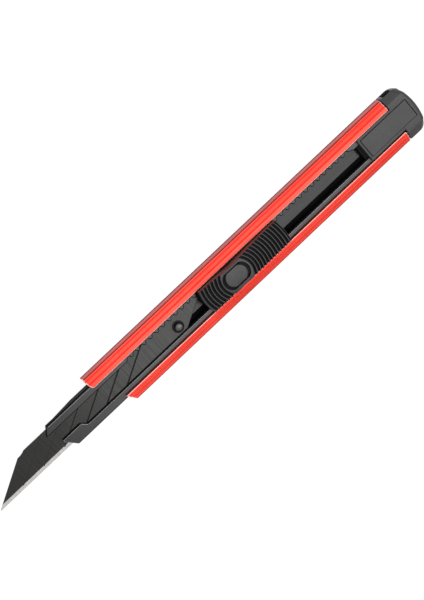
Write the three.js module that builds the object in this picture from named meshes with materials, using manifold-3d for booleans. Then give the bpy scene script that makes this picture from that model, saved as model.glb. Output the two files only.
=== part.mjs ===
// Hobby craft knife for 9 mm snap-off blades, in millimetres.
// +X points to the blade's tip, +Y to its cutting edge, +Z out of the face that the slider stands on.
// Lengths along the knife are given from the tip and turned into x by at().
import * as THREE from "three";
import Module from "manifold-3d";

const wasm = await Module();
wasm.setup();

// Overall
const LENGTH = 176.2;
const TIP_X = LENGTH / 2;

// Handle: a C-shaped aluminium extrusion
const HANDLE_HALF_WIDTH = 8.1;
const HANDLE_REAR = 168.4;
const RAIL_TOP = 7.5;
const RAIL_UNDER = 6.2;
const OPENING_HALF = 4.37;
const RAIL_FLAT_END = 5.46;
const FACET_END = { y: 7.8, z: 6.3 };
const FACET_GROOVES = [0.17, 0.63];
const GROOVE_HALF = 0.16;
const GROOVE_DEPTH = 0.2;
const BACK_FLAT_HALF = 5.2;
const SIDE_ROUND_TOP = 2.9;
const CAVITY_FLOOR = 2.1;
// The front is cut along a curve: distance from the tip at each y
const HANDLE_FRONT = [[-8.4, 44.1], [-6.4, 44.25], [-4.4, 44.9], [0, 47.6], [4.4, 50.5], [7.95, 52.5], [8.4, 52.75]];

// Blade channel: a folded steel sheath open between its two lips
const SHEET = 0.6;
const CHANNEL_SIDES = [-5.25, 5.8];
const CHANNEL_TOP = 5.9;
const CHANNEL_REAR = 154.3;
const LIP_EDGE = 2.95;
const TAB_EDGE = 1.6;
const NOSE_BOTTOM = 4.05;
const NOSE_FLAT_END = 30;
const NOSE_RAMP_END = 38.5;
const SCALLOP_PITCH = 2.6;
const FIRST_BUMP = 60;
const BUMP_COUNT = 36;
const BUMP_EDGE = -2.42;
const VALLEY_EDGE = -3.4;

// Blade
const BLADE_HALF = 4.5;
const BLADE_BOTTOM = 4.75;
const BLADE_TOP = 5.15;
const BEVEL_WIDTH = 1.0;
const CUT_RUN = 2 * BLADE_HALF / Math.tan(29.5 * Math.PI / 180);
const BLADE_REAR = 75.3;
const SCORE_FIRST = 8.15;
const SCORE_PITCH = 8.4;
const SCORE_COUNT = 6;
const SCORE_DEPTH = 0.1;
const HOLE = { m: 76.35, y: 0.55, r: 1.95 };
const PEG = { m: 76.45, y: 0.85, r: 1.4, top: 6.3 };

// Slider
const SLIDER_FRONT = 86.6;
const SLIDER_REAR = 119.4;
const SLIDER_HALF = 4.02;
const SLIDER_WAIST = 3.72;
const SLIDER_BOTTOM = 6.15;
const PAD_CENTRE = 99.3;
const PAD_HALF_LENGTH = 3.9;
const PAD_HALF_WIDTH = 2.6;
const PAD_TOP = 11.7;
const MOAT = { ends: 0.85, sides: 0.35 };
const MOAT_FLOOR = 10.6;
const HUMP_TOP = 11.6;
const END_HEIGHT = 10.3;
const RIB_PITCH = 1.185;
const RIB_GROOVE = 0.7;
const RIB_DEPTH = 0.8;
const FIRST_GROOVE = { front: 5.25, rear: 5.5 };

// End cap
const CAP_TONGUE = 154.4;
const CAP_TONGUE_HALF = 4.1;
const CAP_ARC_SAGITTA = 1.9;
const CAP_CORNER = 2.2;
const PLATE = { front: 155.6, rear: 174.3, half: 3.1, top: 7.5 };
const SLOT = { front: 169.5, rear: 172.8, bottom: 2.5, top: 5.1 };

function at(m) {
  return TIP_X - m;
}

// Joins equal corners so that the shell is closed, and hands it to the boolean library.
function solid(geometry) {
  const position = geometry.attributes.position;
  const index = geometry.index;
  const count = index ? index.count : position.count;
  const seen = new Map();
  const points = [];
  const corners = [];
  for (let i = 0; i < count; i += 1) {
    const v = index ? index.getX(i) : i;
    const p = [position.getX(v), position.getY(v), position.getZ(v)];
    const key = p.map((value) => Math.round(value * 1e5)).join(",");
    if (!seen.has(key)) {
      seen.set(key, points.length / 3);
      points.push(...p);
    }
    corners.push(seen.get(key));
  }
  const triangles = [];
  for (let i = 0; i < corners.length; i += 3) {
    const [a, b, c] = corners.slice(i, i + 3);
    if (a !== b && b !== c && a !== c) triangles.push(a, b, c);
  }
  return new wasm.Manifold(new wasm.Mesh({
    numProp: 3,
    vertProperties: new Float32Array(points),
    triVerts: new Uint32Array(triangles),
  }));
}

function shapeOf(points) {
  return new THREE.Shape(points.map(([u, v]) => new THREE.Vector2(u, v)));
}

function extruded(points, depth) {
  return new THREE.ExtrudeGeometry(shapeOf(points), { depth, bevelEnabled: false, steps: 1 });
}

// Outline in x and y, raised from z0 to z1
function planPrism(points, z0, z1) {
  const geometry = extruded(points, z1 - z0);
  geometry.translate(0, 0, z0);
  return solid(geometry);
}

// Cross-section in y and z, run from x0 to x1
function sectionPrism(points, x0, x1) {
  const geometry = extruded(points, x1 - x0);
  geometry.applyMatrix4(new THREE.Matrix4().makeBasis(
    new THREE.Vector3(0, 1, 0), new THREE.Vector3(0, 0, 1), new THREE.Vector3(1, 0, 0)));
  geometry.translate(x0, 0, 0);
  return solid(geometry);
}

// Side outline in x and z, run from y0 to y1
function sidePrism(points, y0, y1) {
  const geometry = extruded(points, y1 - y0);
  geometry.applyMatrix4(new THREE.Matrix4().makeBasis(
    new THREE.Vector3(1, 0, 0), new THREE.Vector3(0, 0, 1), new THREE.Vector3(0, -1, 0)));
  geometry.translate(0, y1, 0);
  return solid(geometry);
}

function box(x0, x1, y0, y1, z0, z1) {
  return planPrism([[x0, y0], [x1, y0], [x1, y1], [x0, y1]], z0, z1);
}

function lathed(profile, x, y, segments) {
  const geometry = new THREE.LatheGeometry(profile.map(([r, z]) => new THREE.Vector2(r, z)), segments);
  geometry.rotateX(Math.PI / 2);
  geometry.translate(x, y, 0);
  return solid(geometry);
}

function arcPoints(cx, cy, rx, ry, from, to, steps) {
  const points = [];
  for (let i = 0; i <= steps; i += 1) {
    const angle = from + (to - from) * i / steps;
    points.push([cx + rx * Math.cos(angle), cy + ry * Math.sin(angle)]);
  }
  return points;
}

function curve(points, divisions) {
  const spline = new THREE.SplineCurve(points.map(([u, v]) => new THREE.Vector2(u, v)));
  return spline.getPoints(divisions).map((p) => [p.x, p.y]);
}

function mesh(name, body, colour, roughness, metalness) {
  const data = body.getMesh();
  const positions = [];
  for (const corner of data.triVerts) {
    for (let axis = 0; axis < 3; axis += 1) {
      positions.push(data.vertProperties[corner * data.numProp + axis]);
    }
  }
  const geometry = new THREE.BufferGeometry();
  geometry.setAttribute("position", new THREE.Float32BufferAttribute(positions, 3));
  geometry.computeVertexNormals();
  const material = new THREE.MeshStandardMaterial({ color: new THREE.Color(...colour), roughness, metalness });
  const node = new THREE.Mesh(geometry, material);
  node.name = name;
  return node;
}

// Half of the handle's outer outline in y and z, from the opening down to the back's flat
function handleSide(grooved) {
  const start = new THREE.Vector2(RAIL_FLAT_END, RAIL_TOP);
  const end = new THREE.Vector2(FACET_END.y, FACET_END.z);
  const along = end.clone().sub(start);
  const length = along.length();
  along.normalize();
  const inward = new THREE.Vector2(along.y, -along.x);
  const points = [[OPENING_HALF, RAIL_TOP], [RAIL_FLAT_END, RAIL_TOP]];
  for (const fraction of grooved ? FACET_GROOVES : []) {
    const centre = start.clone().addScaledVector(along, length * fraction);
    const before = centre.clone().addScaledVector(along, -GROOVE_HALF);
    const bottom = centre.clone().addScaledVector(inward, GROOVE_DEPTH);
    const after = centre.clone().addScaledVector(along, GROOVE_HALF);
    points.push([before.x, before.y], [bottom.x, bottom.y], [after.x, after.y]);
  }
  if (grooved) {
    points.push([FACET_END.y - 0.12, FACET_END.z + 0.06]);
    points.push([FACET_END.y - 0.12, FACET_END.z - 0.12]);
  }
  points.push([FACET_END.y + 0.12, FACET_END.z - 0.14]);
  points.push([HANDLE_HALF_WIDTH, 4.8]);
  points.push(...arcPoints(BACK_FLAT_HALF, SIDE_ROUND_TOP, HANDLE_HALF_WIDTH - BACK_FLAT_HALF,
    SIDE_ROUND_TOP, 0, -Math.PI / 2, 7));
  return points;
}

function mirrored(points) {
  return points.map(([u, v]) => [-u, v]).reverse();
}

function handleBody() {
  const side = handleSide(true);
  const section = [
    ...side,
    ...mirrored(side),
    [-OPENING_HALF, RAIL_UNDER],
    [CHANNEL_SIDES[0], RAIL_UNDER],
    [CHANNEL_SIDES[0], CAVITY_FLOOR],
    [CHANNEL_SIDES[1], CAVITY_FLOOR],
    [CHANNEL_SIDES[1], RAIL_UNDER],
    [OPENING_HALF, RAIL_UNDER],
  ];
  const bar = sectionPrism(section.reverse(), at(HANDLE_REAR), at(40));
  const front = curve(HANDLE_FRONT, 16).map(([y, m]) => [at(m), y]);
  const keep = planPrism([[at(172), -9], [front[0][0], -9], ...front, [front[16][0], 9], [at(172), 9]], -1, 9);
  return bar.intersect(keep);
}

// The gap between the channel's lips: a tab at the front, then a straight lip on +Y and scallops on -Y
function lipGap() {
  const rear = at(160);
  const points = [
    [at(20), TAB_EDGE],
    [at(35.2), TAB_EDGE],
    [at(35.8), TAB_EDGE + 0.25],
    [at(36.3), LIP_EDGE - 0.25],
    [at(37.1), LIP_EDGE],
    [rear, LIP_EDGE],
    [rear, BUMP_EDGE + 0.5],
    [at(152), BUMP_EDGE + 0.5],
    [at(151.6), BUMP_EDGE],
  ];
  const middle = (BUMP_EDGE + VALLEY_EDGE) / 2;
  const swing = (BUMP_EDGE - VALLEY_EDGE) / 2;
  const perPitch = 6;
  for (let i = (BUMP_COUNT - 1) * perPitch; i >= -perPitch / 2; i -= 1) {
    const turn = 2 * Math.PI * i / perPitch;
    points.push([at(FIRST_BUMP + SCALLOP_PITCH * i / perPitch), middle + swing * Math.cos(turn)]);
  }
  points.push([at(FIRST_BUMP - SCALLOP_PITCH * 0.75), middle], [at(FIRST_BUMP - SCALLOP_PITCH), BUMP_EDGE]);
  points.push([at(20), BUMP_EDGE]);
  return points.reverse();
}

function bladeChannel() {
  const rear = at(CHANNEL_REAR);
  const front = at(24);
  const [left, right] = CHANNEL_SIDES;
  const shell = sidePrism([
    [rear, CAVITY_FLOOR],
    [at(NOSE_RAMP_END), CAVITY_FLOOR],
    [at(NOSE_FLAT_END), NOSE_BOTTOM],
    [front, NOSE_BOTTOM],
    [front, CHANNEL_TOP],
    [rear, CHANNEL_TOP],
  ], left, right);
  const inside = sidePrism([
    [rear - 1, CAVITY_FLOOR + SHEET],
    [at(NOSE_RAMP_END), CAVITY_FLOOR + SHEET],
    [at(NOSE_FLAT_END), NOSE_BOTTOM + SHEET],
    [front + 1, NOSE_BOTTOM + SHEET],
    [front + 1, CHANNEL_TOP - SHEET],
    [rear - 1, CHANNEL_TOP - SHEET],
  ], left + SHEET, right - SHEET);
  // Bent corners of the sheet
  const round = 0.5;
  const bends = sectionPrism([
    ...arcPoints(right - round, CHANNEL_TOP - round, round, round, 0, Math.PI / 2, 3),
    ...arcPoints(left + round, CHANNEL_TOP - round, round, round, Math.PI / 2, Math.PI, 3),
    ...arcPoints(left + round, CAVITY_FLOOR + round, round, round, Math.PI, 1.5 * Math.PI, 3),
    ...arcPoints(right - round, CAVITY_FLOOR + round, round, round, 1.5 * Math.PI, 2 * Math.PI, 3),
  ], rear - 1, front + 1);
  // Plan outline: the nose ends in a slanted lip on each side
  const outline = planPrism([
    [rear, left - 1],
    [at(27.0), left - 1],
    [at(26.7), left],
    [at(24.7), BUMP_EDGE],
    [at(27.6), BUMP_EDGE + 0.01],
    [at(27.6), TAB_EDGE + 0.6],
    [at(30.5), right],
    [at(30.7), right + 1],
    [rear, right + 1],
  ], 1, 8);
  const gap = planPrism(lipGap(), CHANNEL_TOP - SHEET - 0.3, CHANNEL_TOP + 1);
  return shell.subtract(inside).intersect(bends).intersect(outline).subtract(gap);
}

function blade() {
  const outline = planPrism([
    [at(0), BLADE_HALF],
    [at(14.6), -BLADE_HALF + 0.58],
    [at(15.9), -BLADE_HALF + 0.52],
    [at(16.8), -BLADE_HALF + 0.3],
    [at(17.5), -BLADE_HALF],
    [at(BLADE_REAR + CUT_RUN), -BLADE_HALF],
    [at(BLADE_REAR), BLADE_HALF],
  ].reverse(), BLADE_BOTTOM, BLADE_TOP);
  // Ground on both faces along the cutting edge, to a thin land
  const middle = (BLADE_BOTTOM + BLADE_TOP) / 2;
  const land = 0.02;
  const grind = sectionPrism([
    [-BLADE_HALF - 1, BLADE_BOTTOM],
    [BLADE_HALF - BEVEL_WIDTH, BLADE_BOTTOM],
    [BLADE_HALF, middle - land],
    [BLADE_HALF, middle + land],
    [BLADE_HALF - BEVEL_WIDTH, BLADE_TOP],
    [-BLADE_HALF - 1, BLADE_TOP],
  ], at(100), at(-1));
  let body = outline.intersect(grind);
  const width = 0.11;
  for (let i = 0; i < SCORE_COUNT; i += 1) {
    const edge = SCORE_FIRST + SCORE_PITCH * i;
    const inset = BEVEL_WIDTH + 0.1;
    const slope = CUT_RUN / (2 * BLADE_HALF);
    const low = edge + inset * slope;
    const high = edge + CUT_RUN;
    const score = planPrism([
      [at(low) + width, BLADE_HALF - inset],
      [at(high) + width, -BLADE_HALF - 0.01],
      [at(high) - width, -BLADE_HALF - 0.01],
      [at(low) - width, BLADE_HALF - inset],
    ].reverse(), BLADE_TOP - SCORE_DEPTH, BLADE_TOP + 1);
    body = body.subtract(score);
  }
  const hole = lathed([[0, 4], [HOLE.r, 4], [HOLE.r, 6], [0, 6]], at(HOLE.m), HOLE.y, 32);
  return body.subtract(hole);
}

function bladePeg() {
  const dome = 0.75;
  const profile = [[0, BLADE_BOTTOM], [PEG.r, BLADE_BOTTOM]];
  for (let i = 0; i <= 6; i += 1) {
    const angle = Math.PI / 2 * i / 6;
    const r = i === 6 ? 0 : PEG.r * Math.cos(angle);
    profile.push([r, PEG.top - dome + dome * Math.sin(angle)]);
  }
  return lathed(profile, at(PEG.m), PEG.y, 24);
}

function carrierPlate() {
  const strip = [
    [at(114), -4.0],
    [at(75), -4.0],
    [at(73.6), -2.6],
    [at(73.6), 1.2],
    [at(74.6), 2.3],
    [at(78.2), 2.3],
    [at(83.4), -1.8],
    [at(114), -1.8],
  ];
  return planPrism(strip, BLADE_BOTTOM - 0.5, BLADE_BOTTOM);
}

function sliderShoe() {
  const plan = planPrism([
    [at(117.5), -4.55],
    [at(92.4), -4.55],
    [at(89.2), -2.7],
    [at(88.6), 4.55],
    [at(117.5), 4.55],
  ], 3.3, 5.15);
  const slot = box(at(114.2), at(80), -4.1, -1.7, BLADE_BOTTOM - 0.55, BLADE_BOTTOM + 0.05);
  return plan.subtract(slot);
}

// Height of the slider's back: low at its ends, highest at the pad
function sliderHeight(m) {
  const reach = m < PAD_CENTRE ? PAD_CENTRE - SLIDER_FRONT : SLIDER_REAR - PAD_CENTRE;
  const u = Math.min(1, Math.abs(m - PAD_CENTRE) / reach);
  return END_HEIGHT + (HUMP_TOP - END_HEIGHT) * Math.cos(u * Math.PI / 2) ** 1.2;
}

function padOutline(growEnds, growSides) {
  const half = PAD_HALF_WIDTH + growSides;
  const reach = PAD_HALF_LENGTH + growEnds;
  const bulge = 1.3;
  const points = [];
  for (const side of [1, -1]) {
    for (let i = 0; i <= 10; i += 1) {
      const t = side * (2 * i / 10 - 1);
      const squeeze = 1 - 0.18 * Math.abs(t) ** 6;
      points.push([at(PAD_CENTRE) + side * (reach - bulge * t * t) * squeeze, t * half]);
    }
  }
  return points;
}

function thumbSlider() {
  const side = [];
  const steps = 22;
  for (let i = 0; i <= steps; i += 1) {
    const m = SLIDER_REAR + (SLIDER_FRONT - SLIDER_REAR) * i / steps;
    side.push([at(m), sliderHeight(m)]);
  }
  const hump = sidePrism([
    [at(SLIDER_FRONT), SLIDER_BOTTOM],
    ...side.reverse(),
    [at(SLIDER_REAR), SLIDER_BOTTOM],
  ].reverse(), -6, 6);
  // Plan outline: both ends bow outwards and the sides draw in beside the pad
  const sideCurve = curve([
    [at(SLIDER_REAR - 0.7), SLIDER_HALF],
    [at(112), SLIDER_HALF - 0.1],
    [at(PAD_CENTRE + 5), SLIDER_WAIST + 0.12],
    [at(PAD_CENTRE), SLIDER_WAIST],
    [at(PAD_CENTRE - 5), SLIDER_WAIST + 0.12],
    [at(SLIDER_FRONT + 1.1), SLIDER_HALF],
  ], 20);
  const frontBow = [[at(SLIDER_FRONT + 0.35), 2.4], [at(SLIDER_FRONT), 0], [at(SLIDER_FRONT + 0.35), -2.4]];
  const rearBow = [[at(SLIDER_REAR - 0.2), -2.4], [at(SLIDER_REAR), 0], [at(SLIDER_REAR - 0.2), 2.4]];
  const opposite = sideCurve.map(([x, y]) => [x, -y]).reverse();
  const plan = planPrism([...sideCurve, ...frontBow, ...opposite, ...rearBow].reverse(), 4, 13);
  let body = hump.intersect(plan);
  for (let i = 0; i < 12; i += 1) {
    for (const toward of [1, -1]) {
      const r = (toward > 0 ? FIRST_GROOVE.front : FIRST_GROOVE.rear) + RIB_PITCH * i;
      const m = PAD_CENTRE - toward * (r + RIB_GROOVE / 2);
      if (m < SLIDER_FRONT + 0.5 || m > SLIDER_REAR - 0.5) continue;
      const spread = Math.asin(Math.min(1, 5 / r));
      const centre = toward > 0 ? 0 : Math.PI;
      const ring = [
        ...arcPoints(at(PAD_CENTRE), 0, r, r, centre - spread, centre + spread, 10),
        ...arcPoints(at(PAD_CENTRE), 0, r + RIB_GROOVE, r + RIB_GROOVE, centre + spread, centre - spread, 10),
      ];
      body = body.subtract(planPrism(ring, sliderHeight(m) - RIB_DEPTH, 13));
    }
  }
  const pocket = planPrism(padOutline(MOAT.ends, MOAT.sides), MOAT_FLOOR, 13);
  const neck = box(at(115), at(93.5), -1.7, 2.4, 5.15, SLIDER_BOTTOM + 0.2);
  return body.subtract(pocket).add(neck);
}

function thumbPad() {
  return planPrism(padOutline(0, 0), MOAT_FLOOR, PAD_TOP - 0.15).add(
    planPrism(padOutline(-0.25, -0.25), PAD_TOP - 0.2, PAD_TOP));
}

// A leaf beside the slider's neck, whose nose rests between two scallops
function lockSpring() {
  const nose = FIRST_BUMP + SCALLOP_PITCH * 16.5;
  const outer = [];
  for (let i = 0; i <= 10; i += 1) {
    const offset = -1.2 + 2.4 * i / 10;
    outer.push([at(nose - offset), -2.3 - 0.75 * (0.5 + 0.5 * Math.cos(2 * Math.PI * offset / 2.4))]);
  }
  const inner = outer.slice(1, -1).map(([x, y]) => [x, y + 0.33]);
  const leaf = [
    [at(111), -2.3],
    ...outer,
    [at(94.5), -2.3],
    [at(94.5), -1.97],
    ...inner.reverse(),
    [at(110.6), -1.97],
    [at(110.6), -1.71],
    [at(111), -1.71],
  ];
  return planPrism(leaf, 5.3, 5.85);
}

function endCap() {
  const half = HANDLE_HALF_WIDTH;
  const side = handleSide(false);
  const bar = sectionPrism([...side, ...mirrored(side)].reverse(), at(LENGTH), at(HANDLE_REAR));
  const radius = (half * half + CAP_ARC_SAGITTA * CAP_ARC_SAGITTA) / (2 * CAP_ARC_SAGITTA);
  const spread = Math.asin((half - CAP_CORNER) / radius);
  const arc = arcPoints(at(LENGTH) + radius, 0, radius, radius, Math.PI - spread, Math.PI + spread, 12);
  const [cornerX, cornerY] = arc[0];
  const corner = arcPoints(cornerX + CAP_CORNER, cornerY, CAP_CORNER, half - cornerY, Math.PI / 2, Math.PI, 6);
  const end = [...corner, ...arc.slice(1, -1), ...corner.map(([x, y]) => [x, -y]).reverse()];
  const keep = planPrism([[at(150), half + 1], ...end, [at(150), -half - 1]], -1, 9);
  const tongue = box(at(HANDLE_REAR + 1), at(CAP_TONGUE), -CAP_TONGUE_HALF, CAP_TONGUE_HALF, 5.5, RAIL_TOP - 0.25);
  const spigot = box(at(HANDLE_REAR + 1), at(CAP_TONGUE), -5.15, 5.3, CAVITY_FLOOR + 0.15, RAIL_UNDER - 0.2);
  const slot = sidePrism([
    [at(SLOT.rear), SLOT.bottom],
    [at(SLOT.front), SLOT.bottom],
    [at(SLOT.front), SLOT.top],
    [at(SLOT.rear), SLOT.top],
  ], -9, 9);
  const bed = box(at(PLATE.rear + 0.2), at(PLATE.front - 0.2), -PLATE.half - 0.2, PLATE.half + 0.2, 6.9, 9);
  return bar.intersect(keep).add(tongue).add(spigot).subtract(slot).subtract(bed);
}

function capPlate() {
  return box(at(PLATE.rear), at(PLATE.front), -PLATE.half, PLATE.half, 6.9, PLATE.top);
}

const group = new THREE.Group();
group.name = "hobby_craft_knife";
group.add(
  mesh("handle_body", handleBody(), [0.78, 0.05, 0.04], 0.35, 0.85),
  mesh("blade_channel", bladeChannel(), [0.06, 0.06, 0.06], 0.45, 0.6),
  mesh("blade", blade(), [0.07, 0.065, 0.06], 0.4, 0.7),
  mesh("blade_peg", bladePeg(), [0.2, 0.2, 0.2], 0.3, 0.8),
  mesh("carrier_plate", carrierPlate(), [0.25, 0.25, 0.25], 0.4, 0.8),
  mesh("slider_shoe", sliderShoe(), [0.03, 0.03, 0.03], 0.6, 0),
  mesh("lock_spring", lockSpring(), [0.45, 0.45, 0.45], 0.35, 0.9),
  mesh("thumb_slider", thumbSlider(), [0.025, 0.025, 0.027], 0.55, 0),
  mesh("thumb_pad", thumbPad(), [0.05, 0.05, 0.052], 0.5, 0),
  mesh("end_cap", endCap(), [0.035, 0.035, 0.037], 0.5, 0),
  mesh("cap_plate", capPlate(), [0.04, 0.04, 0.042], 0.45, 0),
);

export default group;
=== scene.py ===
"""Looks of the hobby craft knife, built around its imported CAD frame. Shapes are drawn in millimetres."""
import bmesh
import bpy
import math
from mathutils import Matrix, Vector


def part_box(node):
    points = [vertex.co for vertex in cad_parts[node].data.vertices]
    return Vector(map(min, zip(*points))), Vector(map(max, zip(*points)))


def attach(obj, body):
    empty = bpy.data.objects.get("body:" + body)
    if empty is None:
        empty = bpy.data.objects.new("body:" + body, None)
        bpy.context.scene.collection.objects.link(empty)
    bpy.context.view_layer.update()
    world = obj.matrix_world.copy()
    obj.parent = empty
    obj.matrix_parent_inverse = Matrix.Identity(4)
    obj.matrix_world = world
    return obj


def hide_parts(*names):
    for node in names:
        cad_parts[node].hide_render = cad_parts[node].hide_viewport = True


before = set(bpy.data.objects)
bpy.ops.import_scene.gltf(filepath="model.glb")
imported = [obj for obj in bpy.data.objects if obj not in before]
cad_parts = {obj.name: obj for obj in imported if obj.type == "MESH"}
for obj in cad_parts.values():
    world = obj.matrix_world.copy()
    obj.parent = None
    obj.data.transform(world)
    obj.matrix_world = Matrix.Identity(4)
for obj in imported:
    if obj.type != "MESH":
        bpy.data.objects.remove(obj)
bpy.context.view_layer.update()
MM = 0.001


TIP_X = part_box("blade")[1][0] / MM


def at(m):
    """x of a place m millimetres behind the blade's tip."""
    return TIP_X - m


# ---------------------------------------------------------------- shapes

def arc(cx, cy, rx, ry, start, end, steps):
    """Points along an elliptical arc, with its angles in degrees."""
    points = []
    for i in range(steps + 1):
        a = math.radians(start + (end - start) * i / steps)
        points.append((cx + rx * math.cos(a), cy + ry * math.sin(a)))
    return points


def spline(points, per_span):
    """A smooth curve through the points (Catmull-Rom)."""
    padded = [points[0]] + list(points) + [points[-1]]
    out = []
    for k in range(len(points) - 1):
        p0, p1, p2, p3 = padded[k:k + 4]
        for i in range(per_span):
            t = i / per_span
            out.append(tuple(
                0.5 * (2 * b + (c - a) * t + (2 * a - 5 * b + 4 * c - d) * t * t
                       + (3 * b - a - 3 * c + d) * t ** 3)
                for a, b, c, d in zip(p0, p1, p2, p3)))
    out.append(tuple(points[-1]))
    return out


def rounded(points, radius, steps=4):
    """A closed outline with its corners rounded."""
    out = []
    count = len(points)
    for i in range(count):
        p = Vector(points[i])
        before = Vector(points[i - 1]) - p
        after = Vector(points[(i + 1) % count]) - p
        r = min(radius, before.length * 0.45, after.length * 0.45)
        a = p + before.normalized() * r
        b = p + after.normalized() * r
        for k in range(steps + 1):
            t = k / steps
            out.append(tuple(a * (1 - t) ** 2 + p * 2 * t * (1 - t) + b * t * t))
    return out


def solid(verts, faces):
    """A new object from points and faces, with doubled points merged and its faces turned outwards."""
    mesh = bpy.data.meshes.new("work")
    mesh.from_pydata(verts, [], faces)
    bm = bmesh.new()
    bm.from_mesh(mesh)
    bmesh.ops.remove_doubles(bm, verts=bm.verts, dist=1e-5)
    bmesh.ops.recalc_face_normals(bm, faces=bm.faces)
    bm.to_mesh(mesh)
    bm.free()
    obj = bpy.data.objects.new("work", mesh)
    bpy.context.scene.collection.objects.link(obj)
    return obj


def loft(rings):
    """A closed skin over rings that all have the same number of points."""
    count = len(rings[0])
    verts = [v for ring in rings for v in ring]
    faces = []
    for k in range(len(rings) - 1):
        for i in range(count):
            j = (i + 1) % count
            faces.append((k * count + i, k * count + j, (k + 1) * count + j, (k + 1) * count + i))
    faces.append(tuple(range(count)))
    faces.append(tuple(range(len(verts) - count, len(verts))))
    return solid(verts, faces)


def plan_prism(points, z0, z1):
    """A solid with an outline in x and y, from z0 to z1."""
    return loft([[(x, y, z) for x, y in points] for z in (z0, z1)])


def section_prism(points, x0, x1):
    """A solid with an outline in y and z, from x0 to x1."""
    return loft([[(x, y, z) for y, z in points] for x in (x0, x1)])


def side_prism(points, y0, y1):
    """A solid with an outline in x and z, from y0 to y1."""
    return loft([[(x, y, z) for x, z in points] for y in (y0, y1)])


def box(x0, x1, y0, y1, z0, z1):
    """A rectangular block, from its lowest to its highest value on each axis."""
    return plan_prism([(x0, y0), (x1, y0), (x1, y1), (x0, y1)], z0, z1)


def evaluated(obj):
    """The object's mesh with its modifiers applied."""
    graph = bpy.context.evaluated_depsgraph_get()
    return bpy.data.meshes.new_from_object(obj.evaluated_get(graph))


def combine(obj, kind, *tools):
    """Booleans obj with each tool in turn; the tools are used up."""
    for tool in tools:
        modifier = obj.modifiers.new("combine", "BOOLEAN")
        modifier.operation = kind
        modifier.solver = "EXACT"
        modifier.object = tool
        mesh = evaluated(obj)
        obj.modifiers.clear()
        obj.data = mesh
        bpy.data.objects.remove(tool)
    return obj


def clean(bm):
    """Removes the doubled points, slivers and needless edges that booleans leave."""
    bmesh.ops.remove_doubles(bm, verts=bm.verts, dist=2e-4)
    bmesh.ops.dissolve_degenerate(bm, edges=bm.edges, dist=1e-4)
    bmesh.ops.dissolve_limit(bm, angle_limit=math.radians(0.4), verts=bm.verts, edges=bm.edges,
                             delimit={"MATERIAL"})


def soften(obj, width, segments=2, angle=28, material=-1, where=None):
    """Bevels the edges that are sharper than the angle, all of them or those that where() picks."""
    bm = bmesh.new()
    bm.from_mesh(obj.data)
    clean(bm)
    edges = [e for e in bm.edges
             if len(e.link_faces) == 2 and e.calc_face_angle(0) > math.radians(angle)
             and (where is None or where(e))]
    bmesh.ops.bevel(bm, geom=edges, offset=width, offset_type="OFFSET", segments=segments, profile=0.5,
                    affect="EDGES", clamp_overlap=False, material=material)
    bmesh.ops.recalc_face_normals(bm, faces=bm.faces)
    bm.to_mesh(obj.data)
    bm.free()
    return obj


def piece(name, obj, body, nodes, materials, sharp=34):
    """Scales a finished shape to metres, gives it materials and shading, and hands it to the frame."""
    mesh = obj.data
    mesh.transform(Matrix.Scale(MM, 4))
    obj.name = name
    mesh.name = name
    indices = [p.material_index for p in mesh.polygons]
    mesh.materials.clear()
    for material in materials:
        mesh.materials.append(material)
    for polygon, index in zip(mesh.polygons, indices):
        polygon.material_index = min(index, len(materials) - 1)
    bm = bmesh.new()
    bm.from_mesh(mesh)
    for face in bm.faces:
        face.smooth = True
    for edge in bm.edges:
        edge.smooth = not (len(edge.link_faces) == 2 and edge.calc_face_angle(0) > math.radians(sharp))
    bm.to_mesh(mesh)
    bm.free()
    weighted = obj.modifiers.new("normals", "WEIGHTED_NORMAL")
    weighted.keep_sharp = True
    mesh = evaluated(obj)
    obj.modifiers.clear()
    obj.data = mesh
    mesh.name = name
    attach(obj, body)
    if nodes:
        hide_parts(*nodes)
    return obj


def paint(obj, index, test):
    """Gives faces that pass the test another material index."""
    for polygon in obj.data.polygons:
        if test(polygon.center, polygon.normal):
            polygon.material_index = index


# ---------------------------------------------------------------- materials

class Nodes:
    """A small helper for node materials in the object's own coordinates, in metres."""

    def __init__(self, name):
        self.material = bpy.data.materials.new(name)
        self.material.use_nodes = True
        self.tree = self.material.node_tree
        self.shader = self.tree.nodes["Principled BSDF"]
        self.place = self.add("ShaderNodeTexCoord").outputs["Object"]

    def add(self, kind, **values):
        node = self.tree.nodes.new(kind)
        for key, value in values.items():
            setattr(node, key, value)
        return node

    def link(self, a, b):
        self.tree.links.new(a, b)

    def noise(self, scale, stretch=(1, 1, 1), detail=3.0, rough=0.5):
        mapping = self.add("ShaderNodeMapping")
        mapping.inputs["Scale"].default_value = stretch
        self.link(self.place, mapping.inputs["Vector"])
        node = self.add("ShaderNodeTexNoise")
        node.inputs["Scale"].default_value = scale
        node.inputs["Detail"].default_value = detail
        node.inputs["Roughness"].default_value = rough
        self.link(mapping.outputs["Vector"], node.inputs["Vector"])
        return node.outputs["Fac"]

    def spread(self, value, low, high, start=0.3, end=0.7):
        node = self.add("ShaderNodeMapRange")
        node.inputs["From Min"].default_value = start
        node.inputs["From Max"].default_value = end
        node.inputs["To Min"].default_value = low
        node.inputs["To Max"].default_value = high
        self.link(value, node.inputs["Value"])
        return node.outputs["Result"]

    def ramp(self, value, stops):
        node = self.add("ShaderNodeValToRGB")
        elements = node.color_ramp.elements
        while len(elements) < len(stops):
            elements.new(0.5)
        for element, (position, colour) in zip(elements, stops):
            element.position = position
            element.color = (*colour, 1)
        self.link(value, node.inputs["Fac"])
        return node.outputs["Color"]

    def bump(self, height, distance, strength=1.0, before=None):
        node = self.add("ShaderNodeBump")
        node.inputs["Distance"].default_value = distance
        node.inputs["Strength"].default_value = strength
        self.link(height, node.inputs["Height"])
        if before is not None:
            self.link(before, node.inputs["Normal"])
        return node.outputs["Normal"]

    def set(self, **values):
        for key, value in values.items():
            self.shader.inputs[key.replace("_", " ")].default_value = value


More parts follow.
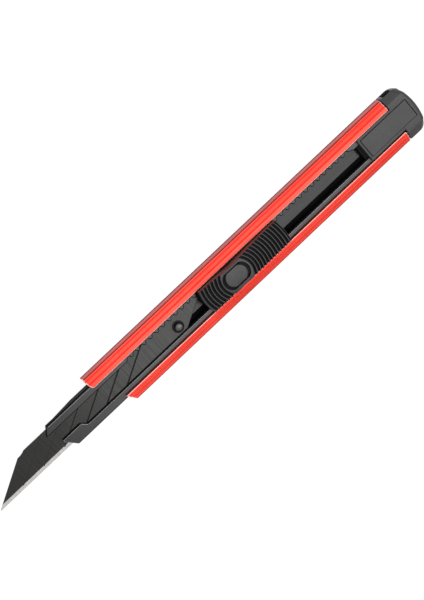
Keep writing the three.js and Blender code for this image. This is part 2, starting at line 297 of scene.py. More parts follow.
def anodised(name, dark, light, rough, metallic=0.55):
    """Anodised extruded aluminium: a fine grain with faint lines along the extrusion."""
    n = Nodes(name)
    n.set(Metallic=metallic, Coat_Weight=0.12, Coat_Roughness=0.25, IOR=1.5)
    grain = n.noise(9000, detail=2)
    lines = n.noise(2600, stretch=(0.012, 1, 1), detail=2)
    cloud = n.noise(90, detail=2)
    n.link(n.ramp(cloud, [(0.3, dark), (0.7, light)]), n.shader.inputs["Base Color"])
    n.link(n.spread(lines, rough - 0.05, rough + 0.06), n.shader.inputs["Roughness"])
    first = n.bump(grain, 0.000012, 0.35)
    n.link(n.bump(lines, 0.00001, 0.3, first), n.shader.inputs["Normal"])
    return n.material


def black_steel(name, dark, light, rough, specular=0.5, across=(0.03, 1, 1)):
    """Steel with a black coating, brushed under it."""
    n = Nodes(name)
    n.set(Metallic=0.0, IOR=1.5, Specular_IOR_Level=specular)
    brushed = n.noise(2200, stretch=across, detail=3)
    cloud = n.noise(160, detail=3)
    n.link(n.ramp(cloud, [(0.32, dark), (0.68, light)]), n.shader.inputs["Base Color"])
    n.link(n.spread(brushed, rough - 0.05, rough + 0.07), n.shader.inputs["Roughness"])
    n.link(n.bump(brushed, 0.000008, 0.3), n.shader.inputs["Normal"])
    return n.material


def bright_steel(name, colour, rough, across=(1, 0.03, 1)):
    """Bare steel, brushed or ground across."""
    n = Nodes(name)
    n.set(Metallic=1.0)
    brushed = n.noise(3500, stretch=across, detail=3)
    paler = tuple(min(1, c * 1.25) for c in colour)
    n.link(n.ramp(brushed, [(0.3, colour), (0.7, paler)]), n.shader.inputs["Base Color"])
    n.link(n.spread(brushed, rough - 0.05, rough + 0.1), n.shader.inputs["Roughness"])
    n.link(n.bump(brushed, 0.00001, 0.3), n.shader.inputs["Normal"])
    return n.material


def plastic(name, dark, light, rough, specular=0.5):
    """Black moulded plastic with the fine spark texture of its mould."""
    n = Nodes(name)
    n.set(Metallic=0.0, IOR=1.5, Specular_IOR_Level=specular)
    spark = n.noise(5200, detail=2, rough=0.6)
    cloud = n.noise(220, detail=2)
    n.link(n.ramp(cloud, [(0.3, dark), (0.7, light)]), n.shader.inputs["Base Color"])
    n.link(n.spread(spark, rough - 0.05, rough + 0.08), n.shader.inputs["Roughness"])
    n.link(n.bump(spark, 0.000022, 0.4), n.shader.inputs["Normal"])
    return n.material


RED = anodised("anodised_red", (0.74, 0.048, 0.031), (0.82, 0.060, 0.039), 0.30, metallic=0.92)
# A darker copy of the red, painted on the handle's sides as shade
RED_SIDE_SHADE = anodised("anodised_red_painted_side_shade", (0.42, 0.028, 0.026), (0.50, 0.036, 0.032), 0.4, metallic=0.72)
# A dark red painted as shade on the ledge under each facet and on the lower side of the handle
RED_PAINTED_SHADE = plastic("anodised_red_painted_shade", (0.13, 0.022, 0.022), (0.17, 0.028, 0.028), 0.5, 0.04)
# A pale pink: partly the bare cut edge of the front rim, partly a painted highlight there and along the
# opening's edges
RED_CUT_AND_HIGHLIGHT = anodised("anodised_cut_edge_and_painted_highlight", (0.90, 0.50, 0.45), (0.98, 0.60, 0.54), 0.3, metallic=0.25)
CHANNEL = black_steel("channel_black", (0.005, 0.005, 0.005), (0.010, 0.010, 0.010), 0.19)
# A grey painted as a highlight on the channel's rounded edges
CHANNEL_EDGE_HIGHLIGHT = black_steel("channel_painted_edge_highlight", (0.15, 0.15, 0.15), (0.23, 0.23, 0.23), 0.3, 0.8)
# A darker black painted as shade on the channel's inner floor
CHANNEL_FLOOR_SHADE = black_steel("channel_floor_painted_shade", (0.002, 0.002, 0.002), (0.004, 0.004, 0.004), 0.2, 0.4)
# A near-black painted as shade on the channel's shadowed faces and scallop edges
CHANNEL_SHADE = black_steel("channel_painted_shade", (0.001, 0.001, 0.001), (0.002, 0.002, 0.002), 0.5, 0.04)
BLADE = black_steel("blade_black", (0.0025, 0.0022, 0.0015), (0.0045, 0.004, 0.003), 0.17, 0.4,
                    across=(1, 0.04, 1))
BLADE_FAINT = black_steel("blade_faint_score", (0.001, 0.001, 0.001), (0.002, 0.002, 0.002), 0.3, 0.32)
# The scores' own dark colour, also painted as shade for the dark line along the blade's rear end
BLADE_SCORE_AND_REAR_SHADE = black_steel("blade_score_and_painted_rear_shade", (0.002, 0.002, 0.002), (0.004, 0.004, 0.004), 0.6, 0.2)
GROUND = bright_steel("ground_steel", (0.46, 0.45, 0.44), 0.3)
STEEL = bright_steel("plain_steel", (0.012, 0.012, 0.012), 0.35, across=(0.05, 1, 1))
DOME = bright_steel("peg_steel", (0.085, 0.085, 0.087), 0.3, across=(1, 1, 1))
SPRING = bright_steel("spring_steel", (0.45, 0.45, 0.46), 0.28, across=(0.05, 1, 1))
SLIDER = plastic("slider_black", (0.010, 0.010, 0.011), (0.016, 0.016, 0.017), 0.38)
# A near-black painted as shade in the slider's grooves and pocket and on the cap's plug
SLIDER_GROOVE_SHADE = plastic("slider_groove_painted_shade", (0.002, 0.002, 0.002), (0.003, 0.003, 0.003), 0.6, 0.15)
PAD = plastic("pad_black", (0.018, 0.018, 0.0185), (0.025, 0.025, 0.026), 0.42)
CAP = plastic("cap_black", (0.015, 0.015, 0.0155), (0.022, 0.022, 0.023), 0.4)
SHOE = plastic("shoe_black", (0.008, 0.008, 0.008), (0.012, 0.012, 0.012), 0.5)


# ---------------------------------------------------------------- handle
# Distances along the knife are in millimetres behind the CAD's blade tip, and heights are above the
# handle's back. Left is -Y and right is +Y, the side of the blade's cutting edge.

WIDE = 9
HALF = 8.1
RAIL_TOP = 7.5
RAIL_UNDER = 6.2
OPENING_LEFT, OPENING_RIGHT = 4.21, 4.63
CAVITY_LEFT, CAVITY_RIGHT = -5.25, 5.8
FLOOR = 2.1
HANDLE_REAR = 168.3
END_GAP = 0.28
EDGE_CUT = 0.18
GROOVES = (0.15, 0.7)
GROOVE_DEPTH = 0.26
RIM_CUT = 0.28
SIDE_TURN = 3.7
FACET_START = (5.46, RAIL_TOP - 0.05)
FACET_END = (7.8, 6.3)


def handle_side(grooved, opening):
    """Half of the outer outline in y and z, from the opening to the flat of the back."""
    (y0, z0), (y1, z1) = FACET_START, FACET_END
    deep = GROOVE_DEPTH
    length = math.hypot(y1 - y0, z1 - z0)
    uy, uz = (y1 - y0) / length, (z1 - z0) / length
    points = [(opening, RAIL_TOP), FACET_START]
    if grooved:
        points[:1] = [(opening, RAIL_TOP - EDGE_CUT), (opening + EDGE_CUT, RAIL_TOP)]
        for fraction in GROOVES:
            for along, drop in ((-0.22, 0), (-0.07, deep), (0.07, deep), (0.22, 0)):
                s = fraction * length + along
                points.append((y0 + uy * s + uz * drop, z0 + uz * s - uy * drop))
        points += [(y1 - 0.1, z1 + 0.05), (y1 - 0.12, z1 - 0.16)]
    points += [(y1 + 0.12, z1 - 0.2), (HALF - 0.05, 5.5), (HALF - 0.03, 4.8), (HALF, SIDE_TURN)]
    return points + arc(5.2, 2.9, HALF - 5.2, 2.9, 0, -90, 14)


def mirrored(points):
    """An outline's half in y and z, turned over to the other side and put in reverse order."""
    return [(-y, z) for y, z in reversed(points)]


def make_handle():
    plain, cut, shaded_side, dark = range(4)
    outside = handle_side(True, OPENING_RIGHT) + mirrored(handle_side(True, OPENING_LEFT))
    inside = [(-OPENING_LEFT, RAIL_UNDER), (CAVITY_LEFT, RAIL_UNDER), (CAVITY_LEFT, FLOOR),
              (CAVITY_RIGHT, FLOOR), (CAVITY_RIGHT, RAIL_UNDER), (OPENING_RIGHT, RAIL_UNDER)]
    bar = section_prism(outside + inside, at(HANDLE_REAR - END_GAP), at(40))
    # The cut at the front, as y and the distance behind the tip
    front = spline([(at(m), y) for y, m in (
        (-8.4, 43.9), (-6.4, 44.05), (-4.4, 44.65), (0, 47.35), (4.4, 50.25), (7.95, 52.25), (8.4, 52.5))], 5)
    rear = at(HANDLE_REAR + 4)
    keep = plan_prism([(rear, -WIDE), (front[0][0], -WIDE)] + front + [(front[-1][0], WIDE), (rear, WIDE)],
                      -1, WIDE)
    body = combine(bar, "INTERSECT", keep)

    # The front rim's bevel takes the pale pink, partly bare cut edge and partly painted highlight
    def cut_rim(edge):
        ends = [f for f in edge.link_faces if abs(f.normal.x) > 0.5 and abs(f.normal.z) < 0.1]
        return len(ends) == 1 and min(v.co.z for v in edge.verts) > 5.0
    soften(body, RIM_CUT, segments=1, angle=40, material=cut, where=cut_rim)
    soften(body, 0.06, segments=2, angle=22,
           where=lambda e: all(f.material_index == plain for f in e.link_faces))
    # Painted shade: the sides take the darker red
    paint(body, shaded_side, lambda c, n: abs(c.y) > FACET_END[0] - 0.05 and c.z > 2.5 and abs(n.z) < 0.6
          and abs(n.x) < 0.3)
    # Painted highlight: the chamfer along the opening's edges takes the pale pink
    paint(body, cut, lambda c, n: RAIL_TOP - EDGE_CUT < c.z < RAIL_TOP and abs(c.y) < FACET_START[0] - 0.3
          and 0.5 < n.z < 0.9 and abs(n.x) < 0.3)
    # Painted shade: the ledge under each facet and the lower side take the dark red
    paint(body, dark, lambda c, n: abs(n.x) < 0.3 and (
        abs(c.y) > FACET_END[0] - 0.15 and 6.0 < c.z < FACET_END[1] - 0.05
        or abs(c.y) > 6 and c.z < SIDE_TURN + 0.02))
    return piece("handle_body_look", body, "handle", ["handle_body"],
                 [RED, RED_CUT_AND_HIGHLIGHT, RED_SIDE_SHADE, RED_PAINTED_SHADE], sharp=22)


# ---------------------------------------------------------------- channel

CHANNEL_TOP = 5.9
CHANNEL_REAR = 154.3
CHANNEL_FRONT = 24
NOSE_START = 30
NOSE_UNDER = 4.05
RAMP_END = 38.5
BEND = 0.5
SHEET = 0.6
PITCH = 2.6
FIRST_BUMP = 60.0
BUMPS = 36
BUMP_EDGE = -2.55
VALLEY_EDGE = -3.55
LIP_EDGE = 3.22
TAB_EDGE = 1.6
LEDGE = 0.4
LEDGE_HEIGHT = 0.15
SHADE_START = 1.6
SHADE_FRONT = 46
CREASE_DEPTH = 0.14


def lip_gap(ledge):
    """The opening between the scalloped left lip and the right one, which ledge brings further in."""
    lip_edge, tab_edge = LIP_EDGE - ledge, TAB_EDGE - ledge
    points = [(at(20), BUMP_EDGE), (at(FIRST_BUMP - PITCH * 0.9), BUMP_EDGE)]
    middle = (BUMP_EDGE + VALLEY_EDGE) / 2
    swing = (BUMP_EDGE - VALLEY_EDGE) / 2
    per_pitch = 14
    for i in range(-per_pitch // 2, (BUMPS - 1) * per_pitch + 1):
        turn = 2 * math.pi * i / per_pitch
        wave = math.cos(turn)
        shaped = math.copysign(abs(wave) ** 0.7, wave)
        points.append((at(FIRST_BUMP + PITCH * i / per_pitch), middle + swing * shaped))
    points += [(at(151.6), BUMP_EDGE + 0.05), (at(152.1), BUMP_EDGE + 0.5), (at(160), BUMP_EDGE + 0.5)]
    step = spline([(at(34.2), tab_edge), (at(34.9), tab_edge + 0.15), (at(36.2), lip_edge - 0.2),
                   (at(37.2), lip_edge)], 4)
    points += [(at(160), lip_edge)] + step[::-1] + [(at(20), tab_edge)]
    return points


def make_channel():
    plain, edge, shade, bed = range(4)
    rear, front = at(CHANNEL_REAR), at(CHANNEL_FRONT)
    ramp, nose, low = at(RAMP_END), at(NOSE_START), NOSE_UNDER
    left, right = CAVITY_LEFT, CAVITY_RIGHT
    shell = side_prism([(rear, FLOOR), (ramp, FLOOR), (nose, low), (front, low), (front, CHANNEL_TOP),
                        (rear, CHANNEL_TOP)], left, right)
    inside = side_prism([(rear - 1, FLOOR + SHEET), (ramp, FLOOR + SHEET), (nose, low + SHEET),
                         (front + 1, low + SHEET), (front + 1, CHANNEL_TOP - SHEET),
                         (rear - 1, CHANNEL_TOP - SHEET)], left + SHEET, right - SHEET)
    r = BEND
    bends = section_prism(
        arc(right - r, CHANNEL_TOP - r, r, r, 0, 90, 6) + arc(left + r, CHANNEL_TOP - r, r, r, 90, 180, 6)
        + arc(left + r, FLOOR + r, r, r, 180, 270, 6) + arc(right - r, FLOOR + r, r, r, 270, 360, 6),
        rear - 1, front + 1)
    outline = plan_prism([
        (rear, left - 1), (at(27.0), left - 1), (at(26.7), left), (at(24.7), BUMP_EDGE),
        (at(27.6), BUMP_EDGE + 0.01), (at(27.6), TAB_EDGE + 0.6), (at(30.5), right), (at(30.7), right + 1),
        (rear, right + 1)], 1, 8)
    lip_low = CHANNEL_TOP - SHEET
    gap = plan_prism(lip_gap(0), lip_low + LEDGE_HEIGHT, CHANNEL_TOP + 1)
    # The ledge under the right lip is there to carry painted shade
    under_gap = plan_prism(lip_gap(LEDGE), lip_low - 0.3, lip_low + LEDGE_HEIGHT + 0.05)
    body = combine(shell, "DIFFERENCE", inside)
    body = combine(body, "INTERSECT", bends, outline)
    body = combine(body, "DIFFERENCE", gap, under_gap)
    # A strip of the floor beside the right wall is a hair lower and is painted with shade
    strip = box(rear - 1, at(SHADE_FRONT), SHADE_START, right - SHEET,
                FLOOR + SHEET - 0.03, FLOOR + SHEET + 0.1)
    body = combine(body, "DIFFERENCE", strip)
    crease = box(at(SHADE_FRONT), at(27.4), left + 0.3, left + 0.55,
                 CHANNEL_TOP - CREASE_DEPTH, CHANNEL_TOP + 1)
    body = combine(body, "DIFFERENCE", crease)
    top = CHANNEL_TOP - 0.02

    def scalloped(e):
        return all(VALLEY_EDGE - 0.05 < v.co.y < BUMP_EDGE + 0.55 and v.co.z > top for v in e.verts)
    # Painted shade: the scallops' rounded edges take the near-black
    soften(body, 0.26, segments=3, angle=40, material=shade, where=scalloped)
    # Painted highlight: the other sharp edges are rounded and take the grey
    soften(body, 0.13, segments=2, angle=40, material=edge,
           where=lambda e: not any(f.material_index == shade for f in e.link_faces))
    paint(body, plain, lambda c, n: c.y > 0 and n.y > 0.3 or c.z < lip_low)
    # Painted shade on the inner floor
    paint(body, bed, lambda c, n: c.z < lip_low - 0.3 and abs(c.y) < 4.9 and n.z > 0.9)
    # Painted shade on the faces that show next to nothing but their own shadow: the right lip's inner face
    # and the ledge under it, the left wall and its bend, the left lip's slanting front, and the strip of the
    # floor
    strip_low, strip_high = FLOOR + SHEET - 0.05, FLOOR + SHEET - 0.01
    paint(body, shade, lambda c, n: c.y > 0 and n.y < -0.8 and c.z > lip_low - 0.1)
    paint(body, shade, lambda c, n: c.y > 0 and n.y < 0.3 and lip_low - 0.1 < c.z < lip_low + 0.2)
    paint(body, shade, lambda c, n: c.y < left + 0.12 and n.y < -0.6)
    paint(body, shade, lambda c, n: c.y < left + 0.5 and n.y < -0.2 and c.z > FLOOR + 0.6)
    paint(body, shade, lambda c, n: c.y < 0 and n.x > 0.15 and c.x > at(28))
    paint(body, shade, lambda c, n: c.y > SHADE_START - 0.1 and strip_low < c.z < strip_high and n.z > 0.9)
    return piece("blade_channel_look", body, "handle", ["blade_channel"],
                 [CHANNEL, CHANNEL_EDGE_HIGHLIGHT, CHANNEL_SHADE, CHANNEL_FLOOR_SHADE])


# ---------------------------------------------------------------- blade

BLADE_HALF = 4.5
BLADE_LOW, BLADE_HIGH = 4.75, 5.15
BEVEL = 1.2
RUN = 2 * BLADE_HALF / math.tan(math.radians(29.5))
BLADE_REAR = 75.3
# The point reaches half a millimetre past the CAD's, as far as the photo shows it
BLADE_TIP = -0.5
SCORE_FIRST = 8.15
SCORE_PITCH = 8.4
SCORE_HALVES = (0.1, 0.12, 0.15, 0.2, 0.24, 0.24)
SCORE_DEPTH = 0.1
FAINT_DEPTH = 0.04
FAINT_SCORES = 2
REAR_SCORE_HALF = 0.14
HOLE = (76.1, 0.5, 1.95)
PEG = (76.25, 0.8, 1.4, 6.3)


def make_blade():
    ground, score, faint_score = 1, 2, 3
    outline = spline([(at(14.2), -BLADE_HALF + 0.58), (at(15.5), -BLADE_HALF + 0.52),
                      (at(16.5), -BLADE_HALF + 0.26), (at(17.1), -BLADE_HALF)], 4)
    back = [(at(BLADE_REAR + RUN), -BLADE_HALF), (at(BLADE_REAR), BLADE_HALF)]
    body = plan_prism([(at(BLADE_TIP), BLADE_HALF)] + outline + back, BLADE_LOW, BLADE_HIGH)
    middle = (BLADE_LOW + BLADE_HIGH) / 2
    land = 0.012
    grind = section_prism([
        (-BLADE_HALF - 1, BLADE_LOW), (BLADE_HALF - BEVEL, BLADE_LOW), (BLADE_HALF, middle - land),
        (BLADE_HALF, middle + land), (BLADE_HALF - BEVEL, BLADE_HIGH), (-BLADE_HALF - 1, BLADE_HIGH),
    ], at(100), at(-1))
    body = combine(body, "INTERSECT", grind)
    slope = RUN / (2 * BLADE_HALF)
    scores = [(SCORE_FIRST + SCORE_PITCH * i, half) for i, half in enumerate(SCORE_HALVES)]
    scores.append((BLADE_REAR - 0.05, REAR_SCORE_HALF))
    # Each score is a shallow groove at the angle of the point, and one more runs along the rear end as a dark
    # line of painted shade
    for i, (edge, half) in enumerate(scores):
        deep = BLADE_HIGH - (FAINT_DEPTH if i < FAINT_SCORES else SCORE_DEPTH)
        low = Vector((at(edge + (BEVEL - 0.25) * slope), BLADE_HALF - BEVEL + 0.25))
        high = Vector((at(edge + RUN + 0.2), -BLADE_HALF - 0.1))
        side = (high - low).normalized()
        side = Vector((-side.y, side.x)) * half
        corners = [low + side, low - side, high - side, high + side]
        body = combine(body, "DIFFERENCE", plan_prism([tuple(c) for c in corners], deep, BLADE_HIGH + 0.4))
    ring = [(at(HOLE[0]) + x, HOLE[1] + y) for x, y in arc(0, 0, HOLE[2], HOLE[2], 0, 352.5, 47)]
    body = combine(body, "DIFFERENCE", plan_prism(ring, 4, 6))
    dark_to = BLADE_HALF - BEVEL + 0.2
    faint = BLADE_HIGH - FAINT_DEPTH - 0.005
    paint(body, score, lambda c, n: BLADE_LOW + 0.1 < c.z < faint and c.y < dark_to
          and (c - Vector((at(HOLE[0]), HOLE[1], c.z))).length > HOLE[2] + 0.1 and abs(n.y) < 0.99)
    paint(body, faint_score, lambda c, n: faint < c.z < BLADE_HIGH - 0.005 and c.y < dark_to)
    paint(body, ground, lambda c, n: 0.2 < abs(n.z) < 0.995 and n.y > 0.1 and c.y > 3)
    return piece("blade_look", body, "slider", ["blade"], [BLADE, GROUND, BLADE_SCORE_AND_REAR_SHADE, BLADE_FAINT],
                 sharp=8)


def lathe(profile, x, y, steps):
    """A round solid about the upright line at x and y."""
    rings = []
    for k in range(steps):
        a = 2 * math.pi * k / steps
        rings.append([(x + r * math.cos(a), y + r * math.sin(a), z) for r, z in profile])
    count = len(profile)
    verts = [v for ring in rings for v in ring]
    faces = []
    for k in range(steps):
        n = (k + 1) % steps
        for i in range(count - 1):
            faces.append((k * count + i, n * count + i, n * count + i + 1, k * count + i + 1))
    return solid(verts, faces)


def make_peg():
    m, y, r, top = PEG
    dome = 0.8
    profile = [(0, BLADE_LOW), (r - 0.1, BLADE_LOW), (r, BLADE_LOW + 0.1)]
    for i in range(11):
        a = math.pi / 2 * i / 10
        profile.append((r * math.cos(a) if i < 10 else 0, top - dome + dome * math.sin(a)))
    return piece("blade_peg_look", lathe(profile, at(m), y, 48), "slider", ["blade_peg"], [DOME])


def make_carrier():
    strip = [(at(114), -4.0), (at(75), -4.0), (at(73.6), -2.6), (at(73.6), 1.2), (at(74.6), 2.3),
             (at(78.2), 2.3), (at(83.4), -1.8), (at(114), -1.8)]
    body = soften(plan_prism(rounded(strip, 0.4), BLADE_LOW - 0.5, BLADE_LOW), 0.06, angle=40)
    return piece("carrier_plate_look", body, "slider", ["carrier_plate"], [STEEL])


def make_shoe():
    body = plan_prism(rounded([(at(117.5), -4.55), (at(92.4), -4.55), (at(89.2), -2.7), (at(88.6), 4.55),
                               (at(117.5), 4.55)], 0.5), 3.3, 5.15)
    slot = box(at(114.2), at(80), -4.1, -1.7, BLADE_LOW - 0.55, BLADE_LOW + 0.05)
    body = combine(body, "DIFFERENCE", slot)
    return piece("slider_shoe_look", soften(body, 0.1, angle=40), "slider", ["slider_shoe"],
                 [SHOE])


LEAF_FRONT, LEAF_REAR = 94.5, 111
LEAF_EDGE = -2.3
LEAF_THICKNESS = 0.33
LEAF_LOW, LEAF_HIGH = 5.3, 5.85
NOSE_SPAN = 2.4
NOSE_REACH = 0.75


def make_spring():
    """A leaf on edge, with a rounded nose between two scallops and its rear end folded inwards."""
    nose = FIRST_BUMP + PITCH * 16.5
    outer = []
    for i in range(25):
        offset = NOSE_SPAN * (i / 24 - 0.5)
        reach = NOSE_REACH * (0.5 + 0.5 * math.cos(2 * math.pi * offset / NOSE_SPAN))
        outer.append((at(nose - offset), LEAF_EDGE - reach))
    inner_edge = LEAF_EDGE + LEAF_THICKNESS
    inner = [(x, y + LEAF_THICKNESS) for x, y in outer[2:-2]]
    fold = [(at(LEAF_REAR - 0.4), inner_edge), (at(LEAF_REAR - 0.4), inner_edge + 0.26),
            (at(LEAF_REAR), inner_edge + 0.26)]
    leaf = [(at(LEAF_REAR), LEAF_EDGE)] + outer + [
        (at(LEAF_FRONT), LEAF_EDGE), (at(LEAF_FRONT), inner_edge)] + inner[::-1] + fold
    body = soften(plan_prism(leaf, LEAF_LOW, LEAF_HIGH), 0.04, angle=40)
    return piece("lock_spring_look", body, "slider", ["lock_spring"], [SPRING])


# ---------------------------------------------------------------- slider

FRONT, REAR = 86.4, 119.2
CENTRE = 98.92
END_Z, TOP_Z = 10.3, 11.6
SIDE_HALF, WAIST_HALF = 4.02, 3.72
PAD_REACH, PAD_HALF, PAD_TOP = 3.8, 2.6, 11.7
PAD_SHIFT = -0.25
PAD_CROWN = 0.12
MOAT_ENDS, MOAT_SIDES, MOAT_FLOOR = 1.05, 0.35, 10.6
RIB_PITCH = 1.185
FIRST_RIB = {1: 5.1, -1: 5.3}
RIB_COUNT = {1: 7, -1: 13}
RING_START = 4.8
RIB_GROOVE_DEPTH = 0.9
SLIDER_UNDER = 6.15
SLIDER_FILLET = 0.3


def hump(m):
    """Height of the slider's back at a place m behind the tip."""
    reach = CENTRE - FRONT if m < CENTRE else REAR - CENTRE
    u = min(1, abs(m - CENTRE) / reach)
    return END_Z + (TOP_Z - END_Z) * math.cos(u * math.pi / 2) ** 1.2


def half_width(m):
    """Half of the slider's width at a place m behind the tip; it has a slight waist."""
    reach = CENTRE - FRONT if m < CENTRE else REAR - CENTRE
    u = min(1, abs(m - CENTRE) / reach)
    return WAIST_HALF + (SIDE_HALF - WAIST_HALF) * math.sin(min(1, u * 1.25) * math.pi / 2) ** 1.6


def pad_outline(ends, sides, steps=16):
    """The pad's outline, grown by the given amounts at its ends and sides."""
    half = PAD_HALF + sides
    reach = PAD_REACH + ends
    points = []
    for side in (1, -1):
        for i in range(steps + 1):
            t = side * (2 * i / steps - 1)
            squeeze = 1 - 0.18 * abs(t) ** 6
            points.append((at(CENTRE) + side * (reach - 1.3 * t * t) * squeeze, PAD_SHIFT + t * half))
    return points


def rib_rows():
    """Pairs of distance from the pad's centre (towards the tip is positive) and drop below the hump."""
    groove = RIB_GROOVE_DEPTH
    land = [(-0.25, groove), (-0.215, 0.2), (-0.17, 0.05), (-0.1, 0.0), (0.1, 0.0), (0.17, 0.05),
            (0.215, 0.2), (0.25, groove)]
    rows = []
    for direction, limit in ((1, CENTRE - FRONT), (-1, REAR - CENTRE)):
        side = []
        for i in range(RIB_COUNT[direction]):
            r = FIRST_RIB[direction] + RIB_PITCH * i
            side += [(direction * (r + d), drop) for d, drop in land]
        side.append((direction * (limit - 0.16), groove))
        side.append((direction * (limit - 0.13), 0.25))
        side.append((direction * limit, 0.3))
        rows.append([(distance, drop) for distance, drop in side
                     if abs(distance) > FIRST_RIB[direction] - 0.11])
    middle = [(RING_START * (1 - 2 * i / 24), 0.0) for i in range(25)]
    return rows[0][::-1] + middle + rows[1]


def make_slider():
    rows = rib_rows()
    low = SLIDER_UNDER
    fillet = SLIDER_FILLET
    rings = []
    for distance, drop in rows:
        r = abs(distance)
        m = CENTRE - distance
        w = half_width(m)
        top = hump(m) - drop
        edge = [0, 0.04, 0.12, 0.24, 0.42]
        ys = [-w + e for e in edge] + [(-1 + 2 * (i + 1) / 12) * (w - 0.42) for i in range(11)] + [
            w - e for e in reversed(edge)]
        ring = []
        for y in ys:
            reach = RING_START if r <= RING_START else r
            bow = math.sqrt(max(0.0, reach * reach - y * y))
            bend = distance / RING_START * bow if r <= RING_START else math.copysign(bow, distance)
            x = at(CENTRE) + bend
            over = max(0.0, abs(y) - (w - fillet))
            z = top - (fillet - math.sqrt(max(0.0, fillet * fillet - over * over)))
            ring.append((x, y, z))
        under = [(x, y, low) for x, y, z in reversed(ring)]
        rings.append(ring + under)
    count = len(rings[0])
    half_count = count // 2
    verts = [v for ring in rings for v in ring]
    faces = []
    for k in range(len(rings) - 1):
        for i in range(count):
            j = (i + 1) % count
            faces.append((k * count + i, k * count + j, (k + 1) * count + j, (k + 1) * count + i))
    for start in (0, len(verts) - count):
        for i in range(half_count - 1):
            faces.append((start + i, start + i + 1, start + count - 2 - i, start + count - 1 - i))
    body = solid(verts, faces)
    neck = box(at(115), at(93.5), -1.7, 2.4, 5.15, low + 0.2)
    body = combine(body, "UNION", neck)
    pocket = plan_prism(pad_outline(MOAT_ENDS, MOAT_SIDES, 28), MOAT_FLOOR, 13)
    # The pocket's rear crescent is only half as deep as its front one
    step = box(at(CENTRE + 4.6), at(CENTRE + 2), PAD_SHIFT - PAD_HALF + 0.3,
               PAD_SHIFT + PAD_HALF - 0.3, MOAT_FLOOR - 0.5, 11.1)
    body = combine(body, "DIFFERENCE", pocket)
    body = combine(body, "UNION", step)
    # Painted shade on the floors of the grooves and of the pocket
    paint(body, 1, lambda c, n: c.z < hump(at(0) - c.x) - 0.35 and abs(c.y) < half_width(at(0) - c.x) - 0.05)
    return piece("thumb_slider_look", body, "slider", ["thumb_slider"],
                 [SLIDER, SLIDER_GROOVE_SHADE], sharp=38)


def make_pad():
    fillet = 0.3
    rings = [[(x, y, MOAT_FLOOR) for x, y in pad_outline(0, 0)]]
    for i in range(7):
        a = math.pi / 2 * i / 6
        grow = -fillet * (1 - math.cos(a))
        z = PAD_TOP - PAD_CROWN - fillet + fillet * math.sin(a)
        rings.append([(x, y, z) for x, y in pad_outline(grow, grow)])
    edge = rings[-1]
    cx = at(CENTRE)
    for k in (0.85, 0.65, 0.4, 0.15):
        rise = PAD_CROWN * (1 - k * k)
        rings.append([(cx + (x - cx) * k, PAD_SHIFT + (y - PAD_SHIFT) * k, z + rise) for x, y, z in edge])
    return piece("thumb_pad_look", loft(rings), "slider", ["thumb_pad"], [PAD])


# ---------------------------------------------------------------- cap

LENGTH = 176.2
TONGUE = 154.35
TONGUE_HALF = 4.1
PLATE = (155.25, 174.0, 3.1)
PLATE_BED = 6.9
SAGITTA = 1.9
CORNER = 2.2
CAP_FILLET = 1.3
CAP_OPENING = 4.4
SIDE_SLOT = (169.5, 172.8, 2.5, 6.0)


def end_x(y):
    """The cap's end: a shallow arc with a rounder corner on each side."""
    radius = (HALF * HALF + SAGITTA * SAGITTA) / (2 * SAGITTA)
    flat = HALF - CORNER
    bow = radius - math.sqrt(radius * radius - min(flat, abs(y)) ** 2)
    over = min(1.0, max(0.0, (abs(y) - flat) / CORNER))
    slope = flat / math.sqrt(radius * radius - flat * flat)
    return at(LENGTH) + bow + slope * over * CORNER * 0.5 + CORNER * (1 - math.sqrt(1 - over * over))


def inset(points, amount):
    """A closed outline moved inwards along its normals."""
    out = []
    count = len(points)
    for i in range(count):
        a, b = Vector(points[i - 1]), Vector(points[(i + 1) % count])
        t = (b - a).normalized()
        normal = Vector((-t.y, t.x))
        p = Vector(points[i])
        if normal.dot(Vector((0, RAIL_TOP / 2)) - p) < 0:
            normal = -normal
        out.append(tuple(p + normal * amount))
    return out


